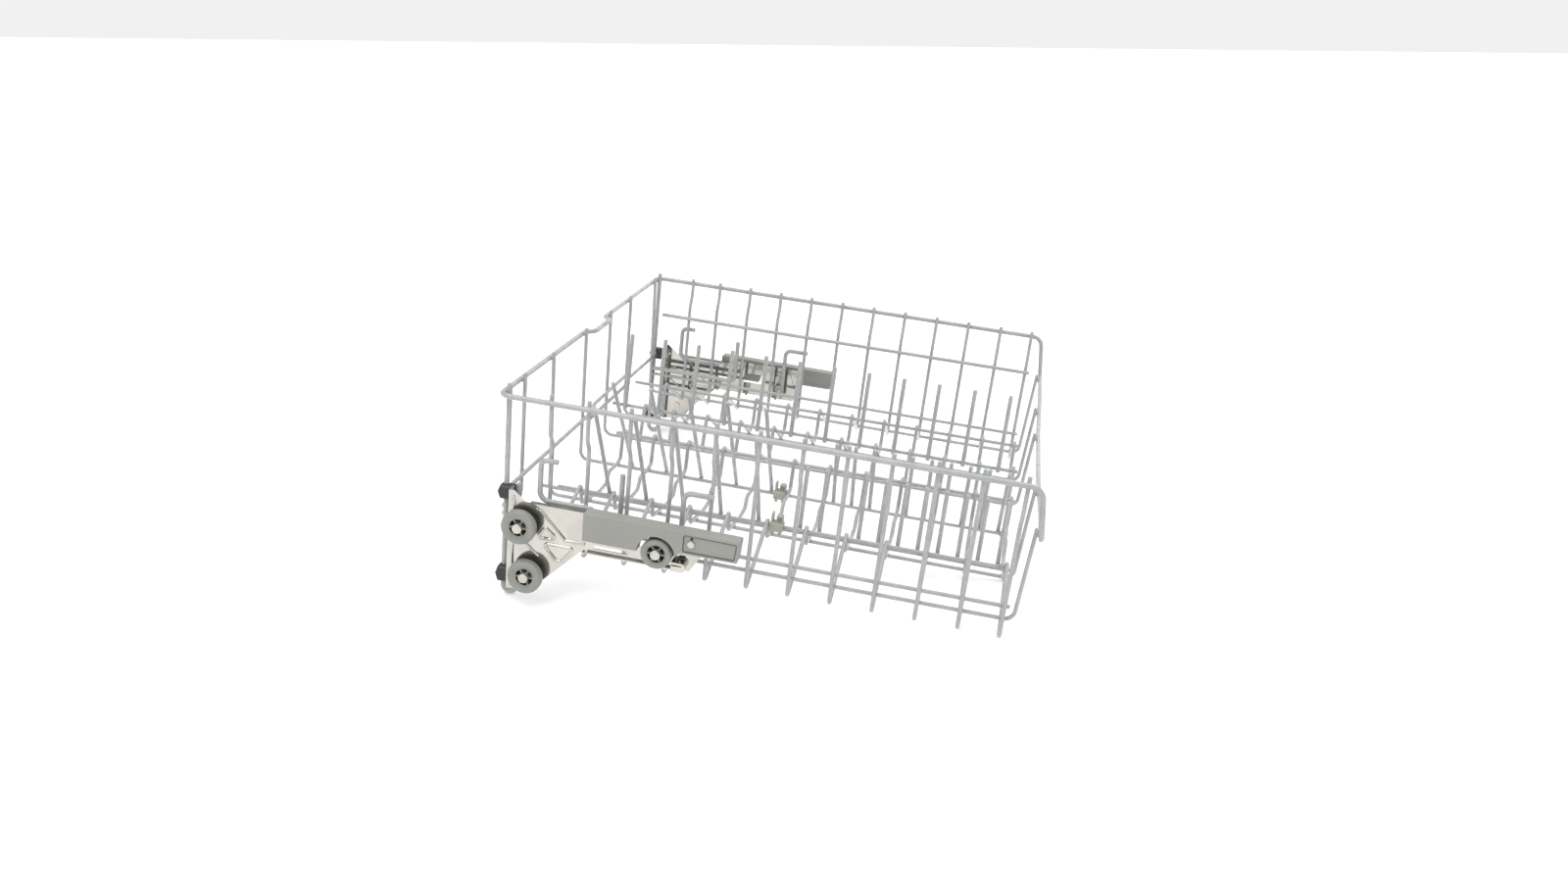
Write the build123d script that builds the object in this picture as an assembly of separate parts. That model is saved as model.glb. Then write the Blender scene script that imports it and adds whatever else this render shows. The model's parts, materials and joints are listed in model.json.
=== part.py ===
from build123d import *
import math
import os

os.makedirs("parts", exist_ok=True)

# Upper rack of a dishwasher, millimetres. X runs to the front, Y across, Z up.
# Coated wire sizes.
rim_wire = 5.0
post_wire = 5.0
hook_wire = 4.5
cross_wire = 3.5
long_wire = 3.2
rail_wire = 3.5
tine_wire = 3.6
far_tine_wire = 4.2
weld_gap = 0.25

# Rim and walls.
cross_pitch = 38.0
first_cross = -34.0
pitch_count = 10
last_cross = 378.4
rim_half = 244.0
rim_height = 146.5
rim_rear = -80.3
rim_front_top = 390.5
rim_front = 397.0
front_side_height = 99.0
front_mid_height = 87.0
front_side_reach = 185.0
front_mid_reach = 70.0
rim_corner = 10.0
rim_jog = 8.5
jog_near = -14.0
jog_far = 32.0
upright_top = 153.0
wall_step = 11.0
wall_half = rim_half - wall_step
near_jog_low = 106.0
near_jog_high = 117.0
far_jog_low = 118.0
far_jog_high = 134.0
straight_front = 383.0

# Distance from a wire to the one welded across it, and where that puts walls and posts.
hold = (cross_wire + long_wire) / 2 + weld_gap
wall_wire_half = wall_half - hold
post_half = wall_wire_half + (long_wire + post_wire) / 2 + weld_gap
upright_half = rim_half - (rim_wire + cross_wire) / 2 - weld_gap

# Folding tine rows and their clips.
axle_play = 0.05
row_split_middle = 143.0
row_split_near = 161.5
axle_end = 381.0
split_gap = 1.0
clip_length = 13.0
clip_width = 11.0
clip_tall = 9.0
finger_rise = 10.0
hook_drop = 4.0
collar_size = 6.5
collar_length = 4.2

# Guide posts and the carriages that slide on them.
post_top = 155.0
post_low = -48.0
post_turn = 6.0
post_inner_top = 62.0
slide_play = 0.08
plate_reach = 16.85
plate_face = -post_half - plate_reach
plate_thick = 1.2
wheel_wide = 9.0
wheel_gap = 4.4
wheel_start = plate_face - wheel_gap
main_wheel = 32.0
small_wheel = 28.0
wheel_recess = 8.0
axle_size = 5.0
wheel_play = 0.05
rivet_play = 0.02
wheels_at = {"rear_upper": (-52.0, 32.0), "rear_lower": (-44.5, -15.5), "front": (75.0, 31.6)}
lever_rear = 8.0
lever_front = 149.0
lever_top = 59.0
lever_low = 32.0
handle_low = 37.5
handle_start = 96.0
lever_gap = 0.8
lever_back = plate_face - lever_gap
lever_deep = 13.0
lever_notch = 17.5
pin_x = 106.0
pin_z = 48.0

# The exported frame has its origin under the middle of the part.
shift = Pos(-(rim_rear - rim_wire / 2 + rim_front + rim_wire / 2) / 2, 0, post_wire / 2 - post_low)


def save(name, solids):
    made = [shift * solid for solid in solids]
    shape = made[0] if len(made) == 1 else Compound(children=made)
    export_step(shape, "parts/" + name + ".step")


def corner_data(before, corner, after, radius):
    at = Vector(*corner)
    back = (Vector(*before) - at).normalized()
    ahead = (Vector(*after) - at).normalized()
    half = math.radians(back.get_angle(ahead) / 2)
    middle = (back + ahead).normalized()
    return at, back, ahead, half, middle


def bent_wire(points, radii, diameter, end_round=0.8):
    edges = []
    start = Vector(*points[0])
    for index in range(1, len(points) - 1):
        radius = radii[index - 1]
        at, back, ahead, half, middle = corner_data(*points[index - 1:index + 2], radius)
        reach = radius / math.tan(half)
        top = at + middle * (radius / math.sin(half) - radius)
        edges.append(Line(start, at + back * reach))
        edges.append(ThreePointArc(at + back * reach, top, at + ahead * reach))
        start = at + ahead * reach
    edges.append(Line(start, Vector(*points[-1])))
    path = Wire(edges)
    first = edges[0]
    section = Plane(origin=first @ 0, z_dir=first % 0) * Circle(diameter / 2)
    solid = sweep(section, path=path).solid()
    ends = [Vector(*points[0]), Vector(*points[-1])]
    circles = solid.edges().filter_by(GeomType.CIRCLE)
    rims = [e for e in circles if min((e.arc_center - p).length for p in ends) < 0.01]
    return solid.fillet(end_round, rims)


def straight_wire(start, end, diameter):
    from_point = Vector(*start)
    run = Vector(*end) - from_point
    rod = Cylinder(diameter / 2, run.length, align=(Align.CENTER, Align.CENTER, Align.MIN))
    rod = fillet(rod.edges().filter_by(GeomType.CIRCLE), diameter * 0.3)
    return (Plane(origin=from_point, z_dir=run) * rod).solid()


# Floor line of a cross wire, as (Y, Z) corners with their bend radii.
near_trough = (-wall_half, -1.5)
near_ridge = (-148.0, 32.3)
mid_ridge = (-17.0, 44.0)
mid_low = (50.0, 10.0)
tine_ridge = (61.0, 47.5)
far_low = (122.0, 13.0)
far_ridge = (145.5, 47.0)
far_trough = (wall_half, -1.5)
near_step = (-143.0, 11.0)
near_flat = (-88.0, 1.0)
row_low = (-66.0, 1.0)
row_step = (-59.0, 12.0)
row_floor = (-33.0, 10.0)
mid_step = (-21.0, 13.0)
far_step = (140.0, 17.0)
floor_line = [
    ((-upright_half, upright_top), 0),
    ((-upright_half, near_jog_high), 6.0),
    ((-wall_half, near_jog_low), 6.0),
    (near_trough, hold),
    (near_ridge, hold),
    (near_step, 4.0),
    (near_flat, 8.0),
    (row_low, 4.0),
    (row_step, 4.0),
    (row_floor, 8.0),
    (mid_step, 4.0),
    (mid_ridge, hold),
    (mid_low, hold),
    (tine_ridge, hold),
    (far_low, hold),
    (far_step, 4.0),
    (far_ridge, hold),
    (far_trough, hold),
    ((wall_half, far_jog_low), 6.0),
    ((upright_half, far_jog_high), 6.0),
    ((upright_half, upright_top), 0),
]


# Centre of a long wire lying inside (1) or outside (-1) a bend of the floor line.
def place_in_bend(corner, side):
    places = [spot for spot, radius in floor_line]
    index = places.index(corner)
    radius = floor_line[index][1]
    around = [(0, *spot) for spot in places[index - 1:index + 2]]
    at, back, ahead, half, middle = corner_data(*around, radius)
    spot = at + middle * (radius / math.sin(half) - radius + side * hold)
    return spot.Y, spot.Z


# Centre of a long wire beside a straight run, above (1) or below (-1).
def place_beside(start, end, share, side):
    run_y = end[0] - start[0]
    run_z = end[1] - start[1]
    length = math.hypot(run_y, run_z)
    spot_y = start[0] + run_y * share - side * hold * run_z / length
    spot_z = start[1] + run_z * share + side * hold * run_y / length
    return spot_y, spot_z


near_row = place_in_bend(near_ridge, 1)
mid_wire = place_in_bend(mid_ridge, 1)
far_row = place_in_bend(tine_ridge, 1)
far_ridge_wire = place_in_bend(far_ridge, 1)
second_ridge_wire = place_beside(near_ridge, near_step, 0.56, 1)
floor_near = place_beside(near_step, near_flat, 0.45, -1)
middle_row = place_beside(row_floor, mid_step, 0.3, -1)
floor_mid = place_in_bend(mid_low, -1)
floor_far = place_in_bend(far_low, -1)
trough_far = place_in_bend(far_trough, 1)
trough_near = (-wall_wire_half, 16.0)
wall_low_height = 28.0
wall_high_height = 105.5

# Cross wires.
cross_places = [first_cross] + [cross_pitch * n for n in range(pitch_count)] + [last_cross]
cross_radii = [radius for spot, radius in floor_line[1:-1]]
for number, place in enumerate(cross_places, 1):
    corners = [(place, *spot) for spot, radius in floor_line]
    save("cross_wire_%02d" % number, [bent_wire(corners, cross_radii, cross_wire)])

# Rim, one wire butt welded at the middle of the rear jog.
jog_x = rim_rear + rim_jog
join = (jog_near + jog_far) / 2
rim_points = [
    ((jog_x, join - weld_gap / 2, rim_height), 0),
    ((jog_x, jog_near, rim_height), 6.0),
    ((rim_rear, jog_near - 10, rim_height), 6.0),
    ((rim_rear, -rim_half, rim_height), rim_corner),
    ((rim_front_top, -rim_half, rim_height), rim_corner + 2),
    ((rim_front, -rim_half, front_side_height), 8.0),
    ((rim_front, -front_side_reach, front_side_height), 30.0),
    ((rim_front, -front_mid_reach, front_mid_height), 30.0),
    ((rim_front, front_mid_reach, front_mid_height), 30.0),
    ((rim_front, front_side_reach, front_side_height), 30.0),
    ((rim_front, rim_half, front_side_height), 8.0),
    ((rim_front_top, rim_half, rim_height), rim_corner + 2),
    ((rim_rear, rim_half, rim_height), rim_corner),
    ((rim_rear, jog_far + 10, rim_height), 6.0),
    ((jog_x, jog_far, rim_height), 6.0),
    ((jog_x, join + weld_gap / 2, rim_height), 0),
]
rim_radii = [radius for spot, radius in rim_points[1:-1]]
save("rim", [bent_wire([spot for spot, radius in rim_points], rim_radii, rim_wire, 0.1)])

# Long wires bent up at the rear, and most of them at the front too.
rear_x = rim_rear + (rim_wire + long_wire) / 2 + weld_gap
riser_x = rim_front - (rim_wire + long_wire) / 2 - weld_gap
floor_front = riser_x - 5


def front_height(across):
    share = (abs(across) - front_mid_reach) / (front_side_reach - front_mid_reach)
    return front_mid_height + min(max(share, 0), 1) * (front_side_height - front_mid_height)


def long_bent(top_y, spot, rises):
    points = [(rear_x, top_y, upright_top), (rear_x, *spot)]
    if rises:
        points.append((floor_front, *spot))
        points.append((riser_x, spot[0], front_height(spot[0]) + 6))
    else:
        points.append((row_split_middle, *spot))
    return bent_wire(points, [9.0] * (len(points) - 2), long_wire)


near_upright = -wall_wire_half + 33.4
far_upright = wall_wire_half - 12.4
near_slant = 34.0
near_points = [
    (rear_x, near_upright, upright_top),
    (rear_x, near_upright, near_slant),
    (rear_x, *trough_near),
    (floor_front, *trough_near),
    (riser_x, trough_near[0], front_height(trough_near[0]) + 6),
]
save("long_wire_1", [bent_wire(near_points, [9.0] * 3, long_wire)])
save("long_wire_2", [long_bent(-124.0, floor_near, True)])
save("long_wire_3", [long_bent(-31.0, middle_row, False)])
save("long_wire_4", [long_bent(48.0, floor_mid, True)])
save("long_wire_5", [long_bent(120.0, floor_far, True)])
save("long_wire_6", [long_bent(far_upright, trough_far, True)])

# Straight long wires. The far low one starts in front of the upright there.
upright_front = rear_x + long_wire / 2 + weld_gap
straight_runs = [
    (rim_rear, straight_front, (-wall_wire_half, wall_low_height)),
    (upright_front, straight_front, (wall_wire_half, wall_low_height)),
    (-67.0, straight_front, (wall_wire_half, wall_high_height)),
    (-56.0, row_split_near, near_row),
    (-79.0, straight_front, second_ridge_wire),
    (-42.0, straight_front, mid_wire),
    (-72.0, straight_front, far_row),
    (-72.0, straight_front, far_ridge_wire),
]
straights = [straight_wire((a, *spot), (b, *spot), long_wire) for a, b, spot in straight_runs]
save("straight_wires", straights)

# Guide posts at the rear corners, each turned back up at its foot.
post_x = rim_rear + (rim_wire + post_wire) / 2 + weld_gap
for side, sign in (("near", -1), ("far", 1)):
    across = sign * post_half
    inner_x = post_x + 2 * post_turn
    points = [
        (post_x, across, post_top),
        (post_x, across, post_low),
        (inner_x, across, post_low),
        (inner_x, across, post_inner_top),
    ]
    save("guide_post_" + side, [bent_wire(points, [post_turn - 0.01] * 2, post_wire)])

# Rail across the rear with its raised middle, and the short bar under it.
rail_x = rear_x + (long_wire + rail_wire) / 2 + weld_gap
rail_z = 57.0
rail_end = post_half - post_wire / 2 - weld_gap
rail_points = [
    (rail_x, -rail_end, rail_z),
    (rail_x, -14.0, rail_z - 2),
    (rail_x, -2.0, rail_z + 5),
    (rail_x, 102.0, rail_z + 5),
    (rail_x, 114.0, rail_z - 2),
    (rail_x, rail_end, rail_z - 4),
]
short_bar = straight_wire((rail_x, -22.0, rail_z - 8), (rail_x, 122.0, rail_z - 8), rail_wire)
save("rear_rail", [bent_wire(rail_points, [6.0] * 4, rail_wire), short_bar])

# Hooks for the height catches, two outside each wall and one inside.
outside_half = wall_half + (cross_wire + hook_wire) / 2 + weld_gap
inside_half = post_half - (post_wire + hook_wire) / 2 - weld_gap
for side, sign in (("near", -1), ("far", 1)):
    outside = sign * outside_half
    inside = sign * inside_half
    c_hook = [(-26.0, outside, 90.0), (-42.0, outside, 90.0), (-42.0, outside, 51.0), (8.0, outside, 51.0)]
    peg_start = rim_rear if sign < 0 else upright_front
    peg = [(peg_start, inside, 35.5), (31.0, inside, 35.5), (31.0, inside, 86.0)]
    arm = [(117.0, outside, 83.0), (90.0, outside, 83.0), (90.0, outside, 20.0)]
    hooks = [
        bent_wire(c_hook, [6.0, 9.0], hook_wire),
        bent_wire(peg, [6.0], hook_wire),
        bent_wire(arm, [7.0], hook_wire),
    ]
    save("catch_hooks_" + side, hooks)


# Tine welded beside its base wire, leaning by (lean, rise) in Y and Z.
def tine(place, spot, base_wire, size, lean, rise, side):
    length = math.hypot(lean, rise)
    along = Vector(0, lean / length, rise / length)
    off = Vector(0, rise / length, -lean / length) * (side * ((base_wire + size) / 2 + weld_gap))
    foot = Vector(place, *spot) + off - along * 3
    return straight_wire(tuple(foot), tuple(foot + along * (length + 3)), size)


# Fixed tines.
far_tines = [tine(-56 + 38 * n, far_row, long_wire, far_tine_wire, 10, 81, -1) for n in range(12)]
save("tines_far", far_tines)
middle_tall = [tine(-19 + 38 * n, middle_row, long_wire, tine_wire, -89, 119, 1) for n in range(5)]
save("tines_middle_fixed", middle_tall)
near_tall = [tine(-5 + 37 * n, near_row, long_wire, tine_wire, -62, 107, 1) for n in range(5)]
save("tines_near_fixed", near_tall)


# Folding tine rows, each on an axle in line with the fixed wire beside it.
def fold_row(start, spot, first, step, count, lean, rise):
    axle = straight_wire((start, *spot), (axle_end, *spot), long_wire)
    return [axle] + [tine(first + step * n, spot, long_wire, tine_wire, lean, rise, 1) for n in range(count)]


middle_first = row_split_middle + 56.0
near_first = row_split_near + 21.5
save("fold_row_middle", fold_row(row_split_middle + split_gap, middle_row, middle_first, 19.0, 10, -37, 77))
save("fold_row_near", fold_row(row_split_near + split_gap, near_row, near_first, 18.7, 11, 4, 62))


# Split clip: a base round the axle, a thin and a slotted finger on top, two hooks below.
def split_clip(split, spot):
    upward = (Align.CENTER, Align.CENTER, Align.MIN)
    downward = (Align.CENTER, Align.CENTER, Align.MAX)
    top = clip_tall / 2 - 0.5
    base = chamfer(Box(clip_length, clip_width, clip_tall).edges(), 1.0)
    thin = Pos(-4.5, 0, top) * Box(2.0, 6.0, finger_rise, align=upward)
    thin = chamfer(thin.faces().sort_by(Axis.Z)[-1].edges(), 0.6)
    wide = Pos(2.5, 0, top) * Box(6.0, 7.0, finger_rise - 2, align=upward)
    wide = chamfer(wide.faces().sort_by(Axis.Z)[-1].edges(), 0.8)
    hooks = [Pos(place, 0, -top) * Box(2.5, 6.0, hook_drop, align=downward) for place in (-3.5, 3.5)]
    clip = base + [thin, wide, *hooks]
    for place in (1.4, 3.6):
        clip = clip - Pos(place, 0, top + 4.5) * Box(0.9, 20, 5)
    bore = Cylinder(long_wire / 2 + axle_play, 4 * clip_length, rotation=(0, 90, 0))
    return (Pos(split, *spot) * (clip - bore)).solid()


# Collar on the front end of an axle, held against the last cross wire.
def end_collar(spot):
    ring = Cylinder(collar_size / 2, collar_length, rotation=(0, 90, 0))
    ring = fillet(ring.edges().filter_by(GeomType.CIRCLE), 0.6)
    ring = ring - Cylinder(long_wire / 2 + axle_play, 4 * collar_length, rotation=(0, 90, 0))
    middle = last_cross - cross_wire / 2 - weld_gap - collar_length / 2
    return (Pos(middle, *spot) * ring).solid()


# Clips that carry the folding rows.
save("clips_middle", [split_clip(row_split_middle, middle_row), end_collar(middle_row)])
save("clips_near", [split_clip(row_split_near, near_row), end_collar(near_row)])


# Carriage, drawn for the near side.
def prism(outline, front, thick):
    face = make_face(Polyline(*[(x, z) for x, z in outline], close=True))
    plane = Plane(origin=(0, front, 0), x_dir=(1, 0, 0), z_dir=(0, -1, 0))
    return plane * extrude(face, thick)


def round_rod(size, start, length):
    rod = Cylinder(size / 2, length, rotation=(90, 0, 0), align=(Align.CENTER, Align.CENTER, Align.MIN))
    return Pos(0, start, 0) * rod


web_outline = [
    (-66, 62), (-61.5, 62), (-50, 52.5), (20, 52.5), (30, 55.5), (112, 55.5), (112, 30), (103, 15),
    (4, 15), (-33, -23), (-41, -33), (-66, -36),
]
plate_back = plate_face + plate_thick
web = prism(web_outline, plate_back, plate_thick)
pressing_high = 0.9
pressing_slope = 65.0


# Shallow pressing that stands out of the web, with sloped sides.
def pressing(outline, rounding):
    face = make_face(Polyline(*[(x, z) for x, z in outline], close=True))
    face = fillet(face.vertices(), rounding)
    plane = Plane(origin=(0, plate_face, 0), x_dir=(1, 0, 0), z_dir=(0, -1, 0))
    return plane * extrude(face, pressing_high, taper=pressing_slope)


upper_pad = pressing([(-38, 21), (-30.5, 32), (-21.5, 24.5), (-23.5, 21)], 1.5)
lower_pad = pressing([(-32, 16), (-3, 16), (-14.5, 0.5), (-20, 1.5)], 2.5)
rear_bead = pressing([(-65.4, 58), (-60.9, 58), (-60.9, -33), (-65.4, -33)], 0.4)
rib = prism([(-37.5, 48), (-34.5, 48), (-10.5, 23), (-13.5, 22)], plate_face, 1.6)
rib = chamfer(rib.faces().sort_by(Axis.Y)[0].edges(), 0.9)
flange_in = 8.5
rear_flange = Pos(-66, plate_back, -36) * Box(plate_thick, flange_in, 98, align=Align.MIN)
low_edge = 15.0
low_flange = Pos(9, plate_face, low_edge) * Box(78, 3.2, plate_thick, align=(Align.MIN, Align.MAX, Align.MIN))
tab = Pos(88, plate_face, low_edge + 1) * Box(13, 7.0, 8.5, align=(Align.MIN, Align.MAX, Align.MIN))
tab = fillet(tab.edges().filter_by(Axis.Y).group_by(Axis.X)[-1], 3.9)
tab_slot = Pos(91, plate_face - 4.5, low_edge + 6.6) * Box(13, 7.0, 1.2)
tab_hole = Pos(95, plate_face - 3.8, low_edge + 5) * Cylinder(2.0, 20)
top_flange = Pos(-46, plate_back, 52.5) * Box(66, 4.0, plate_thick, align=(Align.MIN, Align.MIN, Align.MAX))
nubs = [Pos(spot_x, 0, low_edge - 0.8) * round_rod(2.6, plate_back, 3.6) for spot_x in (5.7, 43.6, 81.4)]
plate = web + [upper_pad, lower_pad, rib, rear_bead, rear_flange, low_flange, tab, top_flange, *nubs]
plate = plate - [tab_slot, tab_hole]
slot = Pos(52, plate_face, 36) * Box(26, 6, 12)
small_slot = Pos(12, plate_face, 30) * Box(10, 6, 6)
long_slot = Pos(30.5, plate_face, low_edge + 6.4) * Box(31, 6, 3.2)
plate = plate - [slot, small_slot, long_slot]
for spot_x, spot_z in ((-59.5, 51.0), (-39.0, 48.0)):
    plate = plate - Pos(spot_x, 0, spot_z) * round_rod(2.4, plate_back + 2, 6)
axle_places = list(wheels_at.values())
for spot_x, spot_z in axle_places + [(pin_x, pin_z)]:
    plate = plate - Pos(spot_x, 0, spot_z) * round_rod(axle_size + 2 * rivet_play, plate_back + 2, 8)

# Sliders, open towards the basket so that they pass the wires welded to the post.
slider_rear = post_x - 6.0
slider_front = -66.0
slider_outer = -post_half - 7.5
slider_inner = -post_half + 1.4


def slider(low, high):
    middle = (low + high) / 2
    outline = [
        (slider_rear, middle), (slider_rear + 2.5, high), (slider_front, high),
        (slider_front, low), (slider_rear + 2.5, low),
    ]
    block = prism(outline, slider_inner, slider_inner - slider_outer)
    block = chamfer(block.faces().sort_by(Axis.Y)[0].edges(), 1.2)
    groove = Pos(post_x, -post_half, middle) * Cylinder(post_wire / 2 + slide_play, 80)
    return (block - groove).solid()


sliders = [slider(47.0, 60.0), slider(-36.0, -21.0)]

# Riveted axles with a shoulder behind the wheel and a head before it.
end_float = 0.2


def axle(spot):
    shoulder_start = plate_face
    shoulder_end = wheel_start + end_float
    rod = round_rod(axle_size, plate_back + 1.0, plate_back + 1.0 - wheel_start + wheel_wide)
    shoulder = round_rod(9.0, shoulder_start, shoulder_start - shoulder_end)
    head = round_rod(9.2, wheel_start - wheel_wide - end_float, 1.2)
    neck = round_rod(axle_size, wheel_start - wheel_wide + 1, 1 + end_float + 0.5)
    head = fillet(head.faces().sort_by(Axis.Y)[0].edges(), 0.6)
    foot = round_rod(7.5, plate_back + 1.2, 1.2)
    return (Pos(spot[0], 0, spot[1]) * (rod + [shoulder, neck, head, foot])).solid()


axles = [axle(spot) for spot in axle_places]

# Lever on its pin.
grip_top = lever_top - 1.0
lever_outline = [
    (lever_rear, lever_low), (lever_rear, lever_top), (lever_front, grip_top),
    (lever_front - 1.5, handle_low), (handle_start, handle_low), (handle_start - 4, lever_low),
]
lever = prism(lever_outline, lever_back, lever_deep)
lever = fillet(lever.edges().filter_by(Axis.Y), 1.5)
lever_front_face = lever_back - lever_deep
outer_edges = lever.faces().sort_by(Axis.Y)[0].edges()
lever = fillet(outer_edges, 1.0)
small_at = wheels_at["front"]
notch = Pos(small_at[0], 0, small_at[1]) * round_rod(2 * lever_notch, lever_back + 2, lever_deep + 4)
lever = lever - notch
panel = prism([(99, 40), (99, 55.5), (146, 55), (145, 40)], lever_front_face + 0.7, 3)
panel = fillet(panel.edges().filter_by(Axis.Y), 1.5)
lever = lever - panel
lever = lever - Pos(pin_x, 0, pin_z) * round_rod(axle_size + 2 * wheel_play, lever_back + 2, 20)
back_panel = prism([(114, 41), (114, 54.5), (145.5, 54.2), (144.8, 41)], lever_back + 1, 1.7)
lever = lever - fillet(back_panel.edges().filter_by(Axis.Y), 1.2)
pin_hole = Pos(pin_x, 0, pin_z + 5) * round_rod(2.6, lever_front_face + 5, 8)
lever = lever - pin_hole

pin_length = plate_back + 1.0 - lever_front_face + 1.0
pin = round_rod(axle_size, plate_back + 1.0, pin_length)
pin_head = round_rod(6.6, lever_front_face + 0.7 - end_float, 1.4)
pin_head = fillet(pin_head.faces().sort_by(Axis.Y)[0].edges(), 0.5)
pin_foot = round_rod(7.5, plate_back + 1.2, 1.2)
lever_pin = Pos(pin_x, 0, pin_z) * (pin + [pin_head, pin_foot])

# Catch bracket on the inner face of the plate.
catch_outline = [(80, 50), (97, 50), (104, 31), (98, 28), (91, 44), (88, 44), (88, 15), (80, 15)]
catch = prism(catch_outline, plate_back + 1.5, 1.4)
catch_lip = Pos(80, plate_back + 0.1, 30) * Box(1.4, 6.0, 16, align=Align.MIN)
catch_slot = Pos(84.5, plate_back, 33) * Box(3.5, 12, 10)
catch_round = Pos(85, 0, 46) * round_rod(3.6, plate_back + 8, 16)
catch = (catch + catch_lip) - [catch_slot, catch_round]


# Wheel with six spokes round a recess, built on its own axis along Y.
def wheel(size):
    half = size / 2
    outline = [
        (axle_size / 2 + wheel_play, 0), (half - 2.5, 0), (half - 0.8, 0.8), (half, 2.5),
        (half, wheel_wide - 2.5), (half - 0.8, wheel_wide - 0.8), (half - 2.5, wheel_wide),
        (half - 4.2, wheel_wide), (wheel_recess + 0.8, wheel_wide - 1.4),
        (axle_size / 2 + wheel_play, wheel_wide - 1.4),
    ]
    face = make_face(Polyline(*outline, close=True))
    body = revolve(Plane.XZ * face, Axis.Z)
    inner = axle_size / 2 + 1.6
    pocket = Cylinder(wheel_recess, 6, align=(Align.CENTER, Align.CENTER, Align.MIN))
    pocket = pocket - Cylinder(inner, 20)
    for turn in range(3):
        pocket = pocket - Rot(0, 0, 60 * turn) * Box(60, 0.9, 20)
    body = body - Pos(0, 0, wheel_wide - 6) * pocket
    return Rot(90, 0, 0) * body


# Both carriages.
def sided(shape, sign):
    return shape if sign < 0 else mirror(shape, about=Plane.XZ)


for side, sign in (("near", -1), ("far", 1)):
    save("carriage_plate_" + side, [sided(plate, sign).solid()])
    save("carriage_sliders_" + side, [sided(block, sign).solid() for block in sliders])
    save("carriage_axles_" + side, [sided(rod, sign).solid() for rod in axles])
    save("catch_bracket_" + side, [sided(catch, sign).solid()])
    save("lever_" + side, [sided(lever, sign).solid()])
    save("lever_pin_" + side, [sided(lever_pin, sign).solid()])
    for name, spot in wheels_at.items():
        size = small_wheel if name == "front" else main_wheel
        placed = Pos(spot[0], wheel_start, spot[1]) * wheel(size)
        save("wheel_" + name + "_" + side, [sided(placed, sign).solid()])
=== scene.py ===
import json
import math
import bmesh
import bpy
from mathutils import Matrix, Vector, kdtree


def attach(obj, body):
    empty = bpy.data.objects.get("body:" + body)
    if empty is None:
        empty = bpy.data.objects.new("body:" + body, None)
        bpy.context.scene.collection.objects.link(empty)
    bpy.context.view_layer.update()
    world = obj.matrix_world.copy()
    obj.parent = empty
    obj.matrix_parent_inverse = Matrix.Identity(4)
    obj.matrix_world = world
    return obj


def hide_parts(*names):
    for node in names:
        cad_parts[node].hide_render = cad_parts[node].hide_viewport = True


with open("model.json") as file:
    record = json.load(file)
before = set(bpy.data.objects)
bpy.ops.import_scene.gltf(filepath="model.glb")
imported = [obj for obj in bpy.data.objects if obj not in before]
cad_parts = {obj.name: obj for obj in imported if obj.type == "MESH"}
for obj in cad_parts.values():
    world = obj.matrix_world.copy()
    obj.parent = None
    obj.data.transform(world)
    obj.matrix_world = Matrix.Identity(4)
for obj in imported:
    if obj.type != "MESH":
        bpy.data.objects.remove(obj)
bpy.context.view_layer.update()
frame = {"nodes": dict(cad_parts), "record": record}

nodes = frame["nodes"]
print("rack loaded with", len(nodes), "nodes")

# The rack is laid out in millimetres from its second cross wire and its trough bottoms.
rackZero = Vector((-158.35, 0, 50.5))


def rack(x, y, z):
    return (Vector((x, y, z)) + rackZero) / 1000


def tone(red, green, blue):
    parts = [value / 255 for value in (red, green, blue)]
    return [part / 12.92 if part < 0.04045 else ((part + 0.055) / 1.055) ** 2.4 for part in parts] + [1.0]


# Node groups that several finishes share.
def startGroup(name, inputs, outputs):
    group = bpy.data.node_groups.new(name, "ShaderNodeTree")
    for label, kind, value in inputs:
        socket = group.interface.new_socket(name=label, in_out="INPUT", socket_type=kind)
        if value is not None:
            socket.default_value = value
    for label, kind in outputs:
        group.interface.new_socket(name=label, in_out="OUTPUT", socket_type=kind)
    return group, group.nodes.new("NodeGroupInput"), group.nodes.new("NodeGroupOutput")


def noiseNode(tree, place, scale, detail, rough=0.5):
    node = tree.nodes.new("ShaderNodeTexNoise")
    node.inputs["Detail"].default_value = detail
    node.inputs["Roughness"].default_value = rough
    if hasattr(scale, "links"):
        tree.links.new(scale, node.inputs["Scale"])
    else:
        node.inputs["Scale"].default_value = scale
    tree.links.new(place, node.inputs["Vector"])
    return node.outputs["Fac"]


def spread(tree, value, low, high, toLow, toHigh):
    node = tree.nodes.new("ShaderNodeMapRange")
    tree.links.new(value, node.inputs["Value"])
    for label, number in (("From Min", low), ("From Max", high), ("To Min", toLow), ("To Max", toHigh)):
        if hasattr(number, "links"):
            tree.links.new(number, node.inputs[label])
        else:
            node.inputs[label].default_value = number
    return node.outputs["Result"]


def mixTones(tree, share, first, second, way="MIX"):
    node = tree.nodes.new("ShaderNodeMix")
    node.data_type = "RGBA"
    node.blend_type = way
    for socket, given in ((node.inputs[0], share), (node.inputs[6], first), (node.inputs[7], second)):
        if hasattr(given, "links"):
            tree.links.new(given, socket)
        else:
            socket.default_value = given
    return node.outputs[2]


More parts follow.
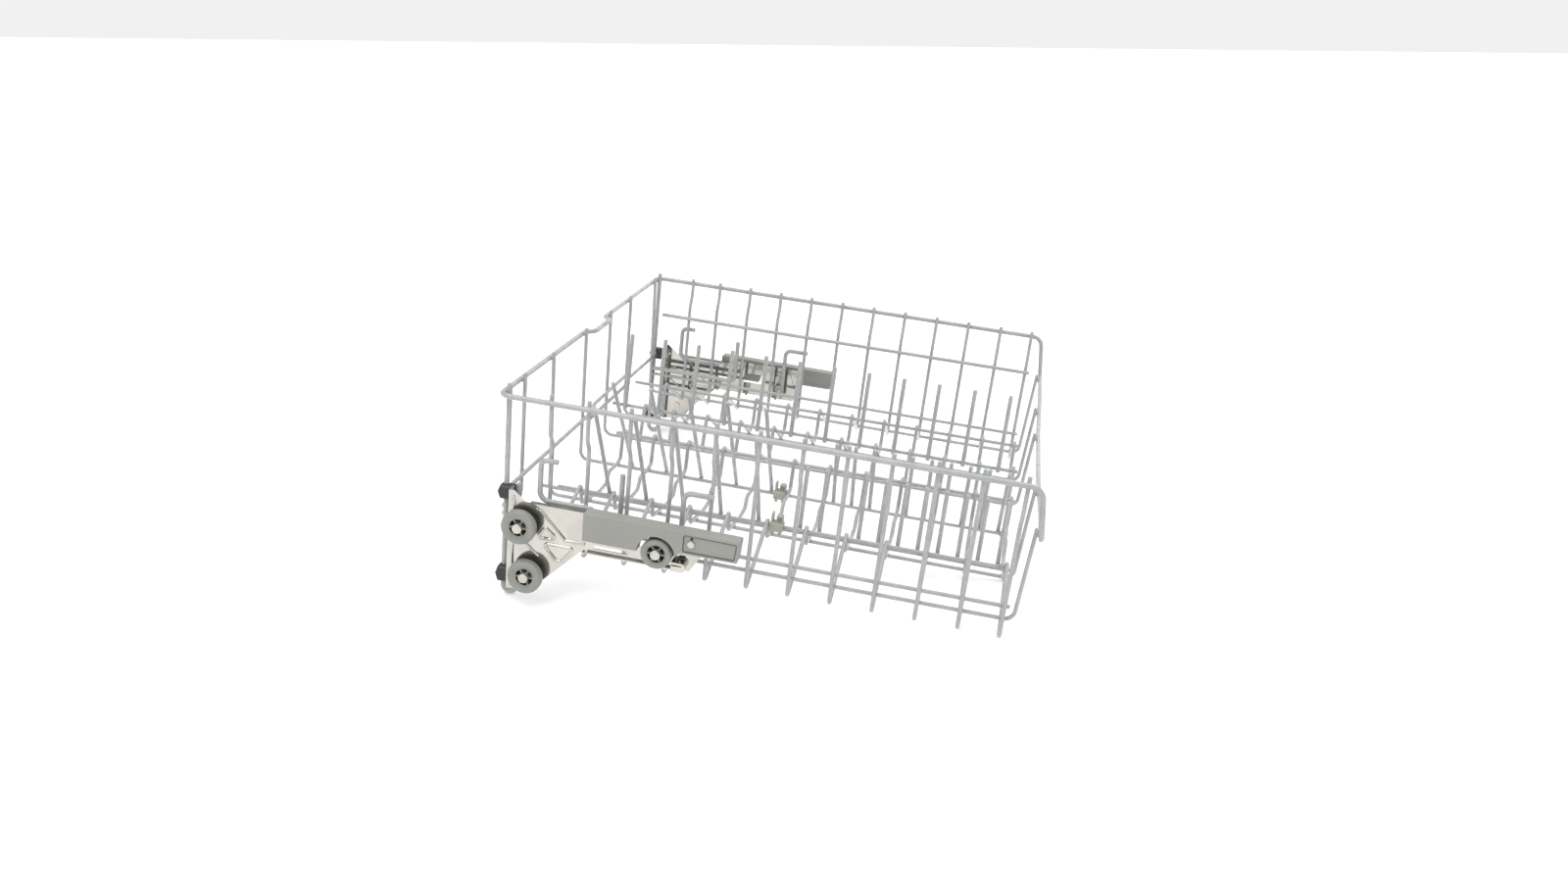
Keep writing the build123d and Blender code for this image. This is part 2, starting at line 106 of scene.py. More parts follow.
def makeSkinGroup():  # moulded or dipped plastic: cloudy tone, fine pores
    inputs = [
        ("Place", "NodeSocketVector", None),
        ("Light", "NodeSocketColor", (0.5, 0.5, 0.5, 1)),
        ("Dark", "NodeSocketColor", (0.4, 0.4, 0.4, 1)),
        ("Cloud Scale", "NodeSocketFloat", 40.0),
        ("Pore Scale", "NodeSocketFloat", 1500.0),
        ("Smooth", "NodeSocketFloat", 0.3),
        ("Dull", "NodeSocketFloat", 0.5),
    ]
    outputs = [("Tone", "NodeSocketColor"), ("Roughness", "NodeSocketFloat"), ("Height", "NodeSocketFloat")]
    group, start, end = startGroup("plasticSkin", inputs, outputs)
    place = start.outputs["Place"]
    cloud = noiseNode(group, place, start.outputs["Cloud Scale"], 4.0)
    pores = noiseNode(group, place, start.outputs["Pore Scale"], 2.0, 0.6)
    share = spread(group, cloud, 0.3, 0.7, 0.0, 1.0)
    group.links.new(mixTones(group, share, start.outputs["Dark"], start.outputs["Light"]), end.inputs["Tone"])
    dull = spread(group, cloud, 0.3, 0.7, start.outputs["Smooth"], start.outputs["Dull"])
    group.links.new(dull, end.inputs["Roughness"])
    group.links.new(pores, end.inputs["Height"])
    return group


def makeGrainGroup():  # rolled sheet and drawn pins: long fine lines and faint cloud
    inputs = [
        ("Place", "NodeSocketVector", None),
        ("Light", "NodeSocketColor", (0.8, 0.8, 0.8, 1)),
        ("Dark", "NodeSocketColor", (0.7, 0.7, 0.7, 1)),
        ("Line Scale", "NodeSocketFloat", 900.0),
        ("Polish", "NodeSocketFloat", 0.1),
        ("Dull", "NodeSocketFloat", 0.3),
    ]
    outputs = [("Tone", "NodeSocketColor"), ("Roughness", "NodeSocketFloat"), ("Height", "NodeSocketFloat")]
    group, start, end = startGroup("rolledGrain", inputs, outputs)
    stretch = group.nodes.new("ShaderNodeMapping")
    stretch.inputs["Scale"].default_value = (0.03, 1.0, 1.0)
    group.links.new(start.outputs["Place"], stretch.inputs["Vector"])
    lines = noiseNode(group, stretch.outputs["Vector"], start.outputs["Line Scale"], 3.0, 0.7)
    cloud = noiseNode(group, start.outputs["Place"], 55.0, 3.0)
    share = spread(group, cloud, 0.35, 0.65, 0.0, 1.0)
    group.links.new(mixTones(group, share, start.outputs["Dark"], start.outputs["Light"]), end.inputs["Tone"])
    dull = spread(group, lines, 0.35, 0.7, start.outputs["Polish"], start.outputs["Dull"])
    group.links.new(dull, end.inputs["Roughness"])
    group.links.new(lines, end.inputs["Height"])
    return group


plasticSkin = makeSkinGroup()
rolledGrain = makeGrainGroup()


def startFinish(name, group, values, bumpValues):
    material = bpy.data.materials.new(name)
    material.use_nodes = True
    tree = material.node_tree
    shader = tree.nodes["Principled BSDF"]
    place = tree.nodes.new("ShaderNodeTexCoord").outputs["Object"]
    skin = tree.nodes.new("ShaderNodeGroup")
    skin.node_tree = group
    for label, value in values.items():
        skin.inputs[label].default_value = value
    tree.links.new(place, skin.inputs["Place"])
    tree.links.new(skin.outputs["Tone"], shader.inputs["Base Color"])
    tree.links.new(skin.outputs["Roughness"], shader.inputs["Roughness"])
    bump = tree.nodes.new("ShaderNodeBump")
    for label, value in bumpValues.items():
        bump.inputs[label].default_value = value
    tree.links.new(skin.outputs["Height"], bump.inputs["Height"])
    tree.links.new(bump.outputs["Normal"], shader.inputs["Normal"])
    return material, shader


coatedWireLook = {
    "Light": tone(160, 162, 161),
    "Dark": tone(147, 149, 148),
    "Cloud Scale": 60.0,
    "Pore Scale": 1400.0,
    "Smooth": 0.22,
    "Dull": 0.32,
}
coatedWireBump = {"Distance": 0.00006, "Strength": 0.5}
coatedWireCoat = {"Coat Weight": 0.6, "Coat Roughness": 0.14}
coatedWire, shader = startFinish("coatedWire", plasticSkin, coatedWireLook, coatedWireBump)
for label, value in coatedWireCoat.items():
    shader.inputs[label].default_value = value

leverLook = {
    "Light": tone(141, 142, 136),
    "Dark": tone(135, 136, 131),
    "Cloud Scale": 25.0,
    "Pore Scale": 2600.0,
    "Smooth": 0.42,
    "Dull": 0.52,
}
leverBump = {"Distance": 0.00004, "Strength": 0.6}
leverPlastic = startFinish("leverPlastic", plasticSkin, leverLook, leverBump)[0]

wheelLook = {
    "Light": tone(138, 140, 135),
    "Dark": tone(127, 129, 124),
    "Cloud Scale": 90.0,
    "Pore Scale": 2200.0,
    "Smooth": 0.36,
    "Dull": 0.5,
}
mouldedBump = {"Distance": 0.00004, "Strength": 0.5}
wheelPlastic = startFinish("wheelPlastic", plasticSkin, wheelLook, mouldedBump)[0]

sliderLook = {
    "Light": tone(48, 48, 47),
    "Dark": tone(34, 34, 34),
    "Cloud Scale": 120.0,
    "Pore Scale": 2200.0,
    "Smooth": 0.34,
    "Dull": 0.5,
}
darkPlastic = startFinish("darkPlastic", plasticSkin, sliderLook, mouldedBump)[0]

clipLook = {
    "Light": tone(162, 162, 152),
    "Dark": tone(148, 148, 139),
    "Cloud Scale": 120.0,
    "Pore Scale": 2200.0,
    "Smooth": 0.4,
    "Dull": 0.55,
}
clipPlastic = startFinish("clipPlastic", plasticSkin, clipLook, mouldedBump)[0]

sheetLook = {
    "Light": (0.54, 0.525, 0.485, 1),
    "Dark": (0.47, 0.455, 0.42, 1),
    "Line Scale": 1500.0,
    "Polish": 0.06,
    "Dull": 0.15,
}
metalBump = {"Distance": 0.00001, "Strength": 0.25}
stainlessSheet, shader = startFinish("stainlessSheet", rolledGrain, sheetLook, metalBump)
shader.inputs["Metallic"].default_value = 1.0

pinLook = {
    "Light": (0.55, 0.52, 0.46, 1),
    "Dark": (0.49, 0.465, 0.41, 1),
    "Line Scale": 1800.0,
    "Polish": 0.16,
    "Dull": 0.3,
}
steelPin, shader = startFinish("steelPin", rolledGrain, pinLook, metalBump)
shader.inputs["Metallic"].default_value = 1.0

finishes = {
    "coated_wire": coatedWire,
    "stainless_sheet": stainlessSheet,
    "steel_pin": steelPin,
    "grey_plastic": leverPlastic,
    "wheel_plastic": wheelPlastic,
    "dark_plastic": darkPlastic,
    "clip_plastic": clipPlastic,
}
print("finishes made:", len(finishes))


def keepPiece(name, bm, slotName, body, stoodFor=()):
    bmesh.ops.recalc_face_normals(bm, faces=bm.faces)
    mesh = bpy.data.meshes.new(name)
    bm.to_mesh(mesh)
    bm.free()
    mesh.shade_smooth()
    mesh.materials.append(finishes[slotName])
    piece = bpy.data.objects.new(name, mesh)
    bpy.context.scene.collection.objects.link(piece)
    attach(piece, body)
    if stoodFor:
        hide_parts(*stoodFor)
    return piece


# Bent wire: a ring is drawn along each run and spun round each bend.
wireShape = {"sides": 14, "bendStep": 0.26, "endRound": 0.3, "sampleStep": 0.0009}
wireLines = []  # sampled centre line, radius and body of every wire, for the weld beads


def newRing(made):
    verts = [part for part in made if isinstance(part, bmesh.types.BMVert)]
    known = set(verts)
    edges = [part for part in made if isinstance(part, bmesh.types.BMEdge)]
    return verts, [edge for edge in edges if edge.verts[0] in known and edge.verts[1] in known]


def drawTo(bm, edges, move):
    verts, edges = newRing(bmesh.ops.extrude_edge_only(bm, edges=edges)["geom"])
    bmesh.ops.translate(bm, verts=verts, vec=move)
    return verts, edges


def addWire(bm, corners, bends, size, body):
    path = [rack(*corner) for corner in corners]
    half = size / 2000
    along = (path[1] - path[0]).normalized()
    turned = along.to_track_quat("Z", "Y").to_matrix().to_4x4()
    placed = Matrix.Translation(path[0]) @ turned
    ring = bmesh.ops.create_circle(bm, cap_ends=True, segments=wireShape["sides"], radius=half, matrix=placed)
    verts = ring["verts"]
    edges = list({edge for vert in verts for edge in vert.link_edges})
    firstEdges = edges
    here = path[0]
    line = [here]
    for index in range(1, len(path) - 1):
        corner = path[index]
        back = (path[index - 1] - corner).normalized()
        ahead = (path[index + 1] - corner).normalized()
        turn = math.pi - back.angle(ahead)
        bend = bends[index - 1] / 1000
        enter = corner + back * (bend * math.tan(turn / 2))
        verts, edges = drawTo(bm, edges, enter - here)
        centre = corner + (back + ahead).normalized() * (bend / math.cos(turn / 2))
        axis = ahead.cross(back)
        steps = max(2, math.ceil(turn / wireShape["bendStep"]))
        spun = bmesh.ops.spin(
            bm, geom=verts + edges, cent=centre, axis=axis, dvec=(0, 0, 0), angle=turn, steps=steps,
            use_merge=False, use_normal_flip=False, use_duplicate=False,
        )
        verts, edges = newRing(spun["geom_last"])
        for step in range(steps + 1):
            line.append(centre + Matrix.Rotation(turn * step / steps, 3, axis) @ (enter - centre))
        here = line[-1]
    verts, edges = drawTo(bm, edges, path[-1] - here)
    line.append(path[-1])
    bmesh.ops.contextual_create(bm, geom=edges)
    bmesh.ops.bevel(
        bm, geom=firstEdges + edges, offset=half * wireShape["endRound"], offset_type="OFFSET", segments=2,
        profile=0.5, affect="EDGES", material=-1,
    )
    wireLines.append((line, half, body))


# U-shaped cross wires, as Y, Z and bend radius of each corner.
crossWires = {
    "size": 3.9,
    "places": [-34, 0, 38, 76, 114, 152, 190, 228, 266, 304, 342, 378.4],
    "corners": [
        (-239.5, 153, 0), (-239.5, 117, 6), (-233, 106, 6), (-233, -1.5, 3.6), (-148, 32.3, 3.6),
        (-143, 11, 4), (-88, 1, 8), (-66, 1, 4), (-59, 12, 4), (-33, 10, 8), (-21, 13, 4), (-17, 44, 3.6),
        (50, 10, 3.6), (61, 47.5, 3.6), (122, 13, 3.6), (140, 17, 4), (145.5, 47, 3.6), (233, -1.5, 3.6),
        (233, 118, 6), (239.5, 134, 6), (239.5, 153, 0),
    ],
}
for number, place in enumerate(crossWires["places"], 1):
    bm = bmesh.new()
    corners = [(place, across, height) for across, height, bend in crossWires["corners"]]
    bends = [bend for across, height, bend in crossWires["corners"][1:-1]]
    addWire(bm, corners, bends, crossWires["size"], "basket")
    keepPiece("crossWire%02d" % number, bm, "coated_wire", "basket", ["cross_wire_%02d" % number])
print("cross wires drawn:", len(crossWires["places"]))

# Rim, one thick wire that starts and ends in the jog at the rear.
rimWire = {
    "size": 5.0,
    "corners": [
        (-71.8, 8.9, 146.5, 0), (-71.8, -14, 146.5, 6), (-80.3, -24, 146.5, 6), (-80.3, -244, 146.5, 10),
        (390.5, -244, 146.5, 12), (397, -244, 99, 8), (397, -185, 99, 30), (397, -70, 87, 30),
        (397, 70, 87, 30), (397, 185, 99, 30), (397, 244, 99, 8), (390.5, 244, 146.5, 12),
        (-80.3, 244, 146.5, 10), (-80.3, 42, 146.5, 6), (-71.8, 32, 146.5, 6), (-71.8, 9.1, 146.5, 0),
    ],
}
bm = bmesh.new()
corners = [corner[:3] for corner in rimWire["corners"]]
addWire(bm, corners, [corner[3] for corner in rimWire["corners"][1:-1]], rimWire["size"], "basket")
keepPiece("rimWire", bm, "coated_wire", "basket", ["rim"])

# Long wires, bent up at the rear and most of them at the front.
longWires = {
    "size": 3.7,
    "bend": 9.0,
    "rear": -75.95,
    "frontFoot": 387.65,
    "frontTop": 392.65,
    "top": 153,
    "runs": [  # rear upright's Y, floor Y and Z, height of the front riser
        (-124.0, -118.894, 2.958, 98.1), (-31.0, -28.527, 7.407, None), (48.0, 50.622, 8.562, 93.0),
        (120.0, 121.507, 9.693, 98.375), (217.0, 229.4, 4.611, 105.0),
    ],
    "shortEnd": 143,
}
rear, foot, top = longWires["rear"], longWires["frontFoot"], longWires["frontTop"]
routes = [[(rear, -196, 153), (rear, -196, 34), (rear, -229.4, 16), (foot, -229.4, 16), (top, -229.4, 105)]]
for upright, across, height, riser in longWires["runs"]:
    route = [(rear, upright, longWires["top"]), (rear, across, height)]
    if riser:
        route += [(foot, across, height), (top, across, riser)]
    else:
        route.append((longWires["shortEnd"], across, height))
    routes.append(route)
for number, route in enumerate(routes, 1):
    bm = bmesh.new()
    addWire(bm, route, [longWires["bend"]] * (len(route) - 2), longWires["size"], "basket")
    keepPiece("longWire%d" % number, bm, "coated_wire", "basket", ["long_wire_%d" % number])

# Straight wires along the walls and under the ridges.
straightWires = {
    "runs": [  # start, end, Y, Z, size
        (-80.3, 383, -229.4, 28, 3.7), (-74.1, 383, 229.4, 28, 3.7), (-67, 383, 229.4, 105.5, 4.3),
        (-56, 161.5, -150.550, 27.412, 3.7), (-79, 383, -141.695, 21.195, 3.7),
        (-42, 383, -14.082, 38.482, 3.7), (-72, 383, 63.177, 42.133, 3.7), (-72, 383, 148.137, 41.422, 3.7),
    ],
}
bm = bmesh.new()
for start, end, across, height, size in straightWires["runs"]:
    addWire(bm, [(start, across, height), (end, across, height)], [], size, "basket")
keepPiece("straightWires", bm, "coated_wire", "basket", ["straight_wires"])

# Guide posts, rear rail and catch hooks.
postWires = {
    "size": 5.0,
    "bend": 5.99,
    "rear": -75.05,
    "front": -63.05,
    "half": 233.75,
    "top": 155,
    "low": -48,
    "backTop": 62,
}
railWire = {
    "size": 3.9,
    "bend": 6,
    "place": -72.35,
    "corners": [(-231, 57), (-14, 55), (-2, 62), (102, 62), (114, 55), (231, 53)],
    "shortBar": [(-22, 49), (122, 49)],
}
hookWires = {
    "size": 4.9,
    "outside": 237.25,
    "inside": 228.75,
    "bends": {"catch": [6, 9], "peg": [6], "arm": [7]},
    "catch": [(-26, 90), (-42, 90), (-42, 51), (8, 51)],
    "peg": [(-80.3, 35.5), (31, 35.5), (31, 86)],
    "arm": [(117, 83), (90, 83), (90, 20)],
    "farPegStart": -74.1,
}
for side, sign in (("near", -1), ("far", 1)):
    across = sign * postWires["half"]
    bm = bmesh.new()
    route = [
        (postWires["rear"], across, postWires["top"]), (postWires["rear"], across, postWires["low"]),
        (postWires["front"], across, postWires["low"]), (postWires["front"], across, postWires["backTop"]),
    ]
    addWire(bm, route, [postWires["bend"]] * 2, postWires["size"], "basket")
    keepPiece("guidePost." + side, bm, "coated_wire", "basket", ["guide_post_" + side])
    bm = bmesh.new()
    for part, where in (("catch", "outside"), ("peg", "inside"), ("arm", "outside")):
        route = [(x, sign * hookWires[where], z) for x, z in hookWires[part]]
        if part == "peg" and side == "far":  # this one starts in front of the upright there
            route[0] = (hookWires["farPegStart"], *route[0][1:])
        addWire(bm, route, hookWires["bends"][part], hookWires["size"], "basket")
    keepPiece("catchHooks." + side, bm, "coated_wire", "basket", ["catch_hooks_" + side])
bm = bmesh.new()
for run in ("corners", "shortBar"):
    route = [(railWire["place"], across, height) for across, height in railWire[run]]
    addWire(bm, route, [railWire["bend"]] * (len(route) - 2), railWire["size"], "basket")
keepPiece("rearRail", bm, "coated_wire", "basket", ["rear_rail"])
print("rim, long wires, posts, rail and hooks drawn")

# Tines, each welded beside its base wire and leaning by so much across and up.
tineRows = {
    "fixed": {
        "tinesFar": ("tines_far", -56, 38, 12, (63.177, 42.133), 4.5, (10, 81), -1),
        "tinesMiddleTall": ("tines_middle_fixed", -19, 38, 5, (-28.527, 7.407), 4.0, (-89, 119), 1),
        "tinesNearTall": ("tines_near_fixed", -5, 37, 5, (-150.550, 27.412), 4.0, (-62, 107), 1),
    },
    "fold": {
        "foldRowMiddle": ("fold_row_middle", 199, 19, 10, (-28.527, 7.407), 4.0, (-37, 77), 1),
        "foldRowNear": ("fold_row_near", 183, 18.7, 11, (-150.550, 27.412), 4.0, (4, 62), 1),
    },
    "foldBodies": {"foldRowMiddle": "middle_fold_row", "foldRowNear": "near_fold_row"},
    "axles": {"foldRowMiddle": (144, 381), "foldRowNear": (162.5, 381)},
    "axleSize": 3.2,
    "weldGap": 0.25,
    "below": 3.0,
}


def addTines(bm, first, step, count, spot, size, lean, side, body):
    length = math.hypot(*lean)
    up = (lean[0] / length, lean[1] / length)
    off = side * ((tineRows["axleSize"] + size) / 2 + tineRows["weldGap"])
    footY = spot[0] + up[1] * off - up[0] * tineRows["below"]
    footZ = spot[1] - up[0] * off - up[1] * tineRows["below"]
    rise = length + tineRows["below"]
    for number in range(count):
        x = first + step * number
        addWire(bm, [(x, footY, footZ), (x, footY + up[0] * rise, footZ + up[1] * rise)], [], size, body)


for name, row in tineRows["fixed"].items():
    bm = bmesh.new()
    addTines(bm, *row[1:], "basket")
    keepPiece(name, bm, "coated_wire", "basket", [row[0]])
for name, row in tineRows["fold"].items():
    bm = bmesh.new()
    body = tineRows["foldBodies"][name]
    start, end = tineRows["axles"][name]
    addWire(bm, [(start, *row[4]), (end, *row[4])], [], tineRows["axleSize"], body)
    addTines(bm, *row[1:], body)
    keepPiece(name, bm, "coated_wire", body, [row[0]])
print("tine rows drawn, wires in all:", len(wireLines))

# Weld beads, where the coating gathers between two wires that touch.
weldBeads = {
    "near": 0.00042,
    "widestHalf": 0.0025,
    "apart": 0.006,
    "flat": 0.7,
    "wide": 1.35,
    "rings": 6,
    "segments": 10,
}


def sampleLine(line):
    points = []
    for start, end in zip(line, line[1:]):
        count = max(1, math.ceil((end - start).length / wireShape["sampleStep"]))
        points += [(start.lerp(end, step / count), (end - start).normalized()) for step in range(count)]
    return points + [(line[-1], (line[-1] - line[-2]).normalized())]


samples = []
for owner, (line, half, body) in enumerate(wireLines):
    samples += [(point, along, owner) for point, along in sampleLine(line)]
tree = kdtree.KDTree(len(samples))
for index, (point, along, owner) in enumerate(samples):
    tree.insert(point, index)
tree.balance()
meetings = {}
for point, along, owner in samples:
    half, body = wireLines[owner][1:]
    for found, index, distance in tree.find_range(point, half + weldBeads["widestHalf"] + weldBeads["near"]):
        other = samples[index][2]
        if other <= owner or wireLines[other][2] != body:
            continue
        reach = half + wireLines[other][1] + weldBeads["near"]
        if distance < reach:
            meetings.setdefault((owner, other), []).append((distance, point, found, along))
beadMeshes = {}
beadCount = 0
for (owner, other), found in meetings.items():
    kept = []
    halfA, body = wireLines[owner][1:]
    halfB = wireLines[other][1]
    for distance, pointA, pointB, along in sorted(found, key=lambda item: item[0]):
        if any((pointA - spot).length < weldBeads["apart"] for spot in kept):
            continue
        kept.append(pointA)
        across = (pointB - pointA).normalized()
        side = across.cross(along).normalized()
        run = side.cross(across)
        small = min(halfA, halfB)
        turned = Matrix((run, side, across)).transposed().to_4x4()
        wide, flat = small * weldBeads["wide"], small * weldBeads["flat"]
        sized = Matrix.Diagonal((wide, wide, flat, 1))
        spot = pointA.lerp(pointB, halfA / (halfA + halfB))
        bm = beadMeshes.setdefault(body, bmesh.new())
        bmesh.ops.create_uvsphere(
            bm, u_segments=weldBeads["segments"], v_segments=weldBeads["rings"], radius=1.0,
            matrix=Matrix.Translation(spot) @ turned @ sized,
        )
        beadCount += 1
for body, bm in beadMeshes.items():
    keepPiece("weldBeads." + body, bm, "coated_wire", body)
print("weld beads set:", beadCount)

# Rollers: a rounded tyre, a dished face and six thin spokes; the recess gets a dark cup, painted shade for
# its depth.
rollers = {
    "start": 255.0,
    "wide": 9.0,
    "bore": 2.55,
    "hub": 4.1,
    "recess": 8.0,
    "recessFloor": 1.2,
    "round": 2.5,
    "spokeWide": 1.1,
    "spokeTop": 7.2,
    "spokes": 6,
    "shadeLining": 0.1,
    "shadeLiningBelow": 2.3,
    "steps": 48,
    "sharpTurn": 0.6,
    "places": {"rear_upper": (-52, 32, 32), "rear_lower": (-44.5, -15.5, 32), "front": (75, 31.6, 28)},
}


def rollerProfile(size):
    half, wide, soft = size / 2, rollers["wide"], rollers["round"]
    hub, recess, floorDepth = rollers["hub"], rollers["recess"], rollers["recessFloor"]
    turns = [math.pi / 2 * step / 5 for step in range(6)]
    profile = [(rollers["bore"], 0)]
    profile += [(half - soft + soft * math.sin(turn), soft - soft * math.cos(turn)) for turn in turns]
    profile += [(half - soft + soft * math.cos(turn), wide - soft + soft * math.sin(turn)) for turn in turns]
    profile += [(half - 3.4, wide - 0.1), (half - 4.2, wide - 0.4), (recess + 0.5, wide - 1.6)]
    profile += [(recess + 0.1, wide - 1.75), (recess, wide - 1.9), (recess, floorDepth), (hub, floorDepth)]
    return profile + [(hub, wide - 1.3), (hub - 0.3, wide - 1.0), (rollers["bore"], wide - 1.0)]


def spinLoop(bm, profile, middle, sign):
    spots = [middle + Vector((reach, sign * depth, 0)) / 1000 for reach, depth in profile]
    verts = [bm.verts.new(spot) for spot in spots]
    edges = [bm.edges.new((verts[index - 1], verts[index])) for index in range(len(verts))]
    bmesh.ops.spin(
        bm, geom=verts + edges, cent=middle, axis=(0, 1, 0), dvec=(0, 0, 0), angle=math.tau,
        steps=rollers["steps"], use_merge=True, use_normal_flip=False, use_duplicate=False,
    )


for side, sign in (("near", -1), ("far", 1)):
    for place, (x, z, size) in rollers["places"].items():
        body = "wheel_%s_%s_body" % (place, side)
        middle = rack(x, sign * rollers["start"], z)
        bm = bmesh.new()
        spinLoop(bm, rollerProfile(size), middle, sign)
        reach = rollers["recess"] - rollers["hub"] + 0.6
        deep = rollers["spokeTop"] - rollers["recessFloor"]
        for number in range(rollers["spokes"]):
            turn = Matrix.Rotation(math.tau * number / rollers["spokes"], 4, "Y")
            middleReach = (rollers["recess"] + rollers["hub"]) / 2
            move = Vector((middleReach, sign * (rollers["spokeTop"] - deep / 2), 0))
            sized = Matrix.Diagonal((reach / 1000, deep / 1000, rollers["spokeWide"] / 1000, 1))
            placed = Matrix.Translation(middle) @ turn @ Matrix.Translation(move / 1000) @ sized
            bmesh.ops.create_cube(bm, size=1.0, matrix=placed)
        stoodFor = ["wheel_%s_%s" % (place, side)]
        roller = keepPiece("roller.%s.%s" % (place, side), bm, "wheel_plastic", body, stoodFor)
        roller.data.set_sharp_from_angle(angle=rollers["sharpTurn"])
        # A dark cup laid into the recess: painted shade standing in for the shadow deep in the hollow.
        bm = bmesh.new()
        thin, floorDepth = rollers["shadeLining"], rollers["recessFloor"]
        inner, outer = rollers["hub"] + thin, rollers["recess"] - thin
        high = rollers["wide"] - rollers["shadeLiningBelow"]
        cup = [(inner, floorDepth + thin), (outer, floorDepth + thin), (outer, high), (outer - thin, high)]
        cup += [(outer - thin, floorDepth + 2 * thin), (inner, floorDepth + 2 * thin)]
        spinLoop(bm, cup, middle, sign)
        shadeLining = keepPiece("rollerRecessShade.%s.%s" % (place, side), bm, "dark_plastic", body)
        shadeLining.data.set_sharp_from_angle(angle=rollers["sharpTurn"])
print("rollers turned")

# Small dark catch that shows above the tab of each plate.
catchNub = {"place": (96, 27), "size": (6, 2.4, 3), "start": 250.6, "round": 0.5}
for side, sign in (("near", -1), ("far", 1)):
    bm = bmesh.new()
    wide, deep, tall = catchNub["size"]
    middle = rack(catchNub["place"][0], sign * (catchNub["start"] + deep / 2), catchNub["place"][1])
    sized = Matrix.Diagonal((wide / 1000, deep / 1000, tall / 1000, 1))
    bmesh.ops.create_cube(bm, size=1.0, matrix=Matrix.Translation(middle) @ sized)
    bmesh.ops.bevel(
        bm, geom=bm.edges[:], offset=catchNub["round"] / 1000, offset_type="OFFSET", segments=2, profile=0.5,
        affect="EDGES", material=-1,
    )
    keepPiece("catchNub." + side, bm, "dark_plastic", "carriage_" + side)

# Rounded beads pressed along the plate's stiffening shapes, and a thin dark line round the grip, painted
# shade for the shadow in its border groove.
plateBeads = {
    "face": 250.6,
    "size": 3.0,
    "bend": 2.0,
    "closed": [
        [(-38, 21), (-30.5, 32), (-21.5, 24.5), (-23.5, 21)],
        [(-32, 16), (-3, 16), (-14.5, 0.5), (-20, 1.5)],
    ],
    "open": [[(-36, 48), (-11.5, 22.5), (7, 22.5)], [(-61, 57), (-61, -32)], [(-57, 20), (-36, 2)]],
    "gripFace": 264.3,
    "gripSize": 0.6,
    "gripBend": 1.5,
    "grip": [(99, 40), (99, 55.5), (146, 55), (145, 40)],
}


def addLoop(bm, outline, across, bend, size, body):
    first, last = outline[0], outline[-1]
    middle = ((first[0] + last[0]) / 2, (first[1] + last[1]) / 2)
    route = [(x, across, z) for x, z in [middle, *outline, middle]]
    addWire(bm, route, [bend] * len(outline), size, body)


for side, sign in (("near", -1), ("far", 1)):
    bm = bmesh.new()
    body = "carriage_" + side
    across = sign * plateBeads["face"]
    for outline in plateBeads["closed"]:
        addLoop(bm, outline, across, plateBeads["bend"], plateBeads["size"], body)
    for outline in plateBeads["open"]:
        route = [(x, across, z) for x, z in outline]
        addWire(bm, route, [plateBeads["bend"]] * (len(route) - 2), plateBeads["size"], body)
    keepPiece("plateBeads." + side, bm, "stainless_sheet", body)
    # A thin dark line on the lever face: painted shade standing in for the shadow of the grip's border
    # groove.
    bm = bmesh.new()
    body = "lever_%s_body" % side
    across = sign * plateBeads["gripFace"]
    addLoop(bm, plateBeads["grip"], across, plateBeads["gripBend"], plateBeads["gripSize"], body)
    keepPiece("gripGrooveShade." + side, bm, "dark_plastic", body)
print("plate beads and grip grooves set")

# The carried-over solids take the finish of their slot.
for entry in frame["record"]["subparts"]:
    solid = nodes[entry["node"]]
    solid.data.materials.clear()
    solid.data.materials.append(finishes[entry["material_slot"]])

# Floor under the feet of the guide posts and the front troughs.
floorShape = {
    "size": 14.0,
    "rear": (-0.2274, -0.0002),
    "front": (0.220, 0.0486),
    "tone": tone(235, 235, 235),
    "glow": 0.2,
}
run = floorShape["front"][0] - floorShape["rear"][0]
rise = floorShape["front"][1] - floorShape["rear"][1]
slope = math.atan2(rise, run)
bm = bmesh.new()
middle = Vector((floorShape["rear"][0], 0, floorShape["rear"][1]))
bmesh.ops.create_grid(
    bm, x_segments=2, y_segments=2, size=floorShape["size"],
    matrix=Matrix.Translation(middle) @ Matrix.Rotation(-slope, 4, "Y"),
)
mesh = bpy.data.meshes.new("floor")
bm.to_mesh(mesh)
bm.free()
floor = bpy.data.objects.new("floor", mesh)
bpy.context.scene.collection.objects.link(floor)
floorFinish = bpy.data.materials.new("paleFloor")
floorFinish.use_nodes = True
shader = floorFinish.node_tree.nodes["Principled BSDF"]
shader.inputs["Base Color"].default_value = floorShape["tone"]
shader.inputs["Roughness"].default_value = 0.9
shader.inputs["Emission Color"].default_value = (1, 1, 1, 1)
shader.inputs["Emission Strength"].default_value = floorShape["glow"]
mesh.materials.append(floorFinish)

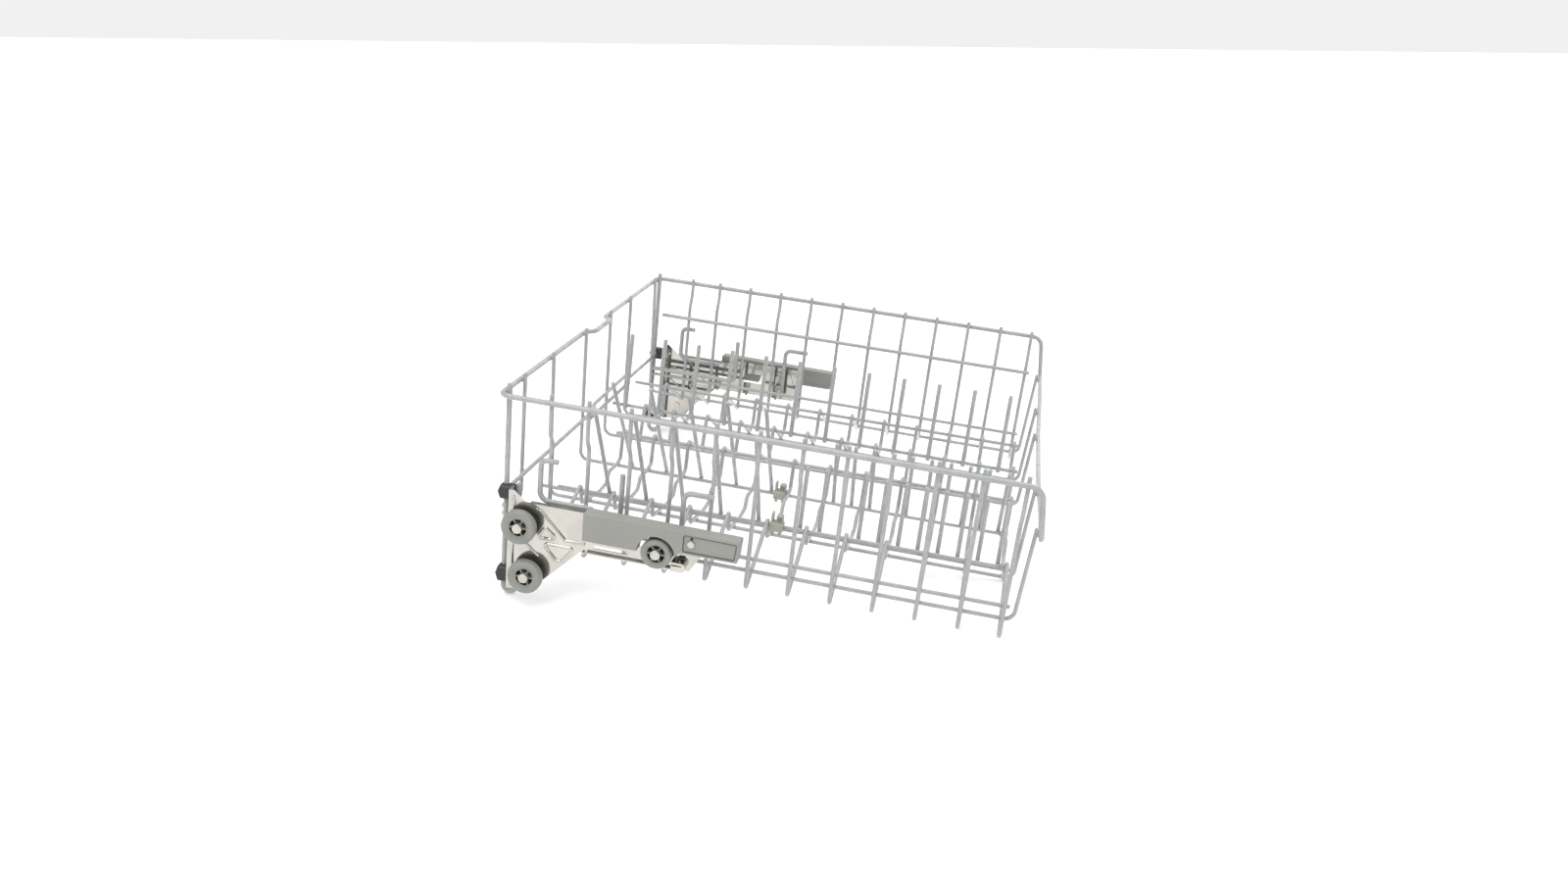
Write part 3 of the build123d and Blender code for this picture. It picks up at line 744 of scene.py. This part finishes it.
# Soft studio light.
studio = {
    "sky": [(0.0, 0.4), (0.36, 0.4), (0.44, 0.08), (0.6, 0.12), (0.88, 1.0)],  # height of a direction, share
    "skyLight": 2.2,
    "panels": {  # place, width, watts
        "keyPanel": ((-0.9, -1.3, 1.5), 1.3, 12),
        "fillPanel": ((1.5, -0.7, 1.0), 1.2, 4),
        "backPanel": ((0.2, 1.5, 1.3), 1.4, 6),
    },
    "aim": (0, 0, 0.1),
}
world = bpy.data.worlds.new("studioWhite")
world.use_nodes = True
skyTree = world.node_tree
background = skyTree.nodes["Background"]
background.inputs["Strength"].default_value = studio["skyLight"]
heights = skyTree.nodes.new("ShaderNodeSeparateXYZ")
skyTree.links.new(skyTree.nodes.new("ShaderNodeTexCoord").outputs["Generated"], heights.inputs[0])
ramp = skyTree.nodes.new("ShaderNodeValToRGB")
while len(ramp.color_ramp.elements) < len(studio["sky"]):
    ramp.color_ramp.elements.new(0.5)
for element, (height, share) in zip(ramp.color_ramp.elements, studio["sky"]):
    element.position = height
    element.color = (share, share, share, 1)
skyTree.links.new(heights.outputs["Z"], ramp.inputs["Fac"])
skyTree.links.new(ramp.outputs["Color"], background.inputs["Color"])
bpy.context.scene.world = world
for name, (place, width, watts) in studio["panels"].items():
    lamp = bpy.data.lights.new(name, "AREA")
    lamp.size = width
    lamp.energy = watts
    panel = bpy.data.objects.new(name, lamp)
    panel.location = place
    panel.rotation_euler = (Vector(studio["aim"]) - Vector(place)).to_track_quat("-Z", "Y").to_euler()
    bpy.context.scene.collection.objects.link(panel)
bpy.context.scene.view_settings.view_transform = "Standard"

# Camera at the photograph's angle.
photoView = {"place": (0.15894, -1.20711, 0.56711), "turn": (69.1914, -6.3152, 10.9273), "lens": 28.46}
lensData = bpy.data.cameras.new("photoCamera")
lensData.lens = photoView["lens"]
lensData.sensor_width = 36.0
camera = bpy.data.objects.new("photoCamera", lensData)
camera.location = photoView["place"]
camera.rotation_euler = [math.radians(angle) for angle in photoView["turn"]]
bpy.context.scene.collection.objects.link(camera)
bpy.context.scene.camera = camera
print("stage, light and camera set")
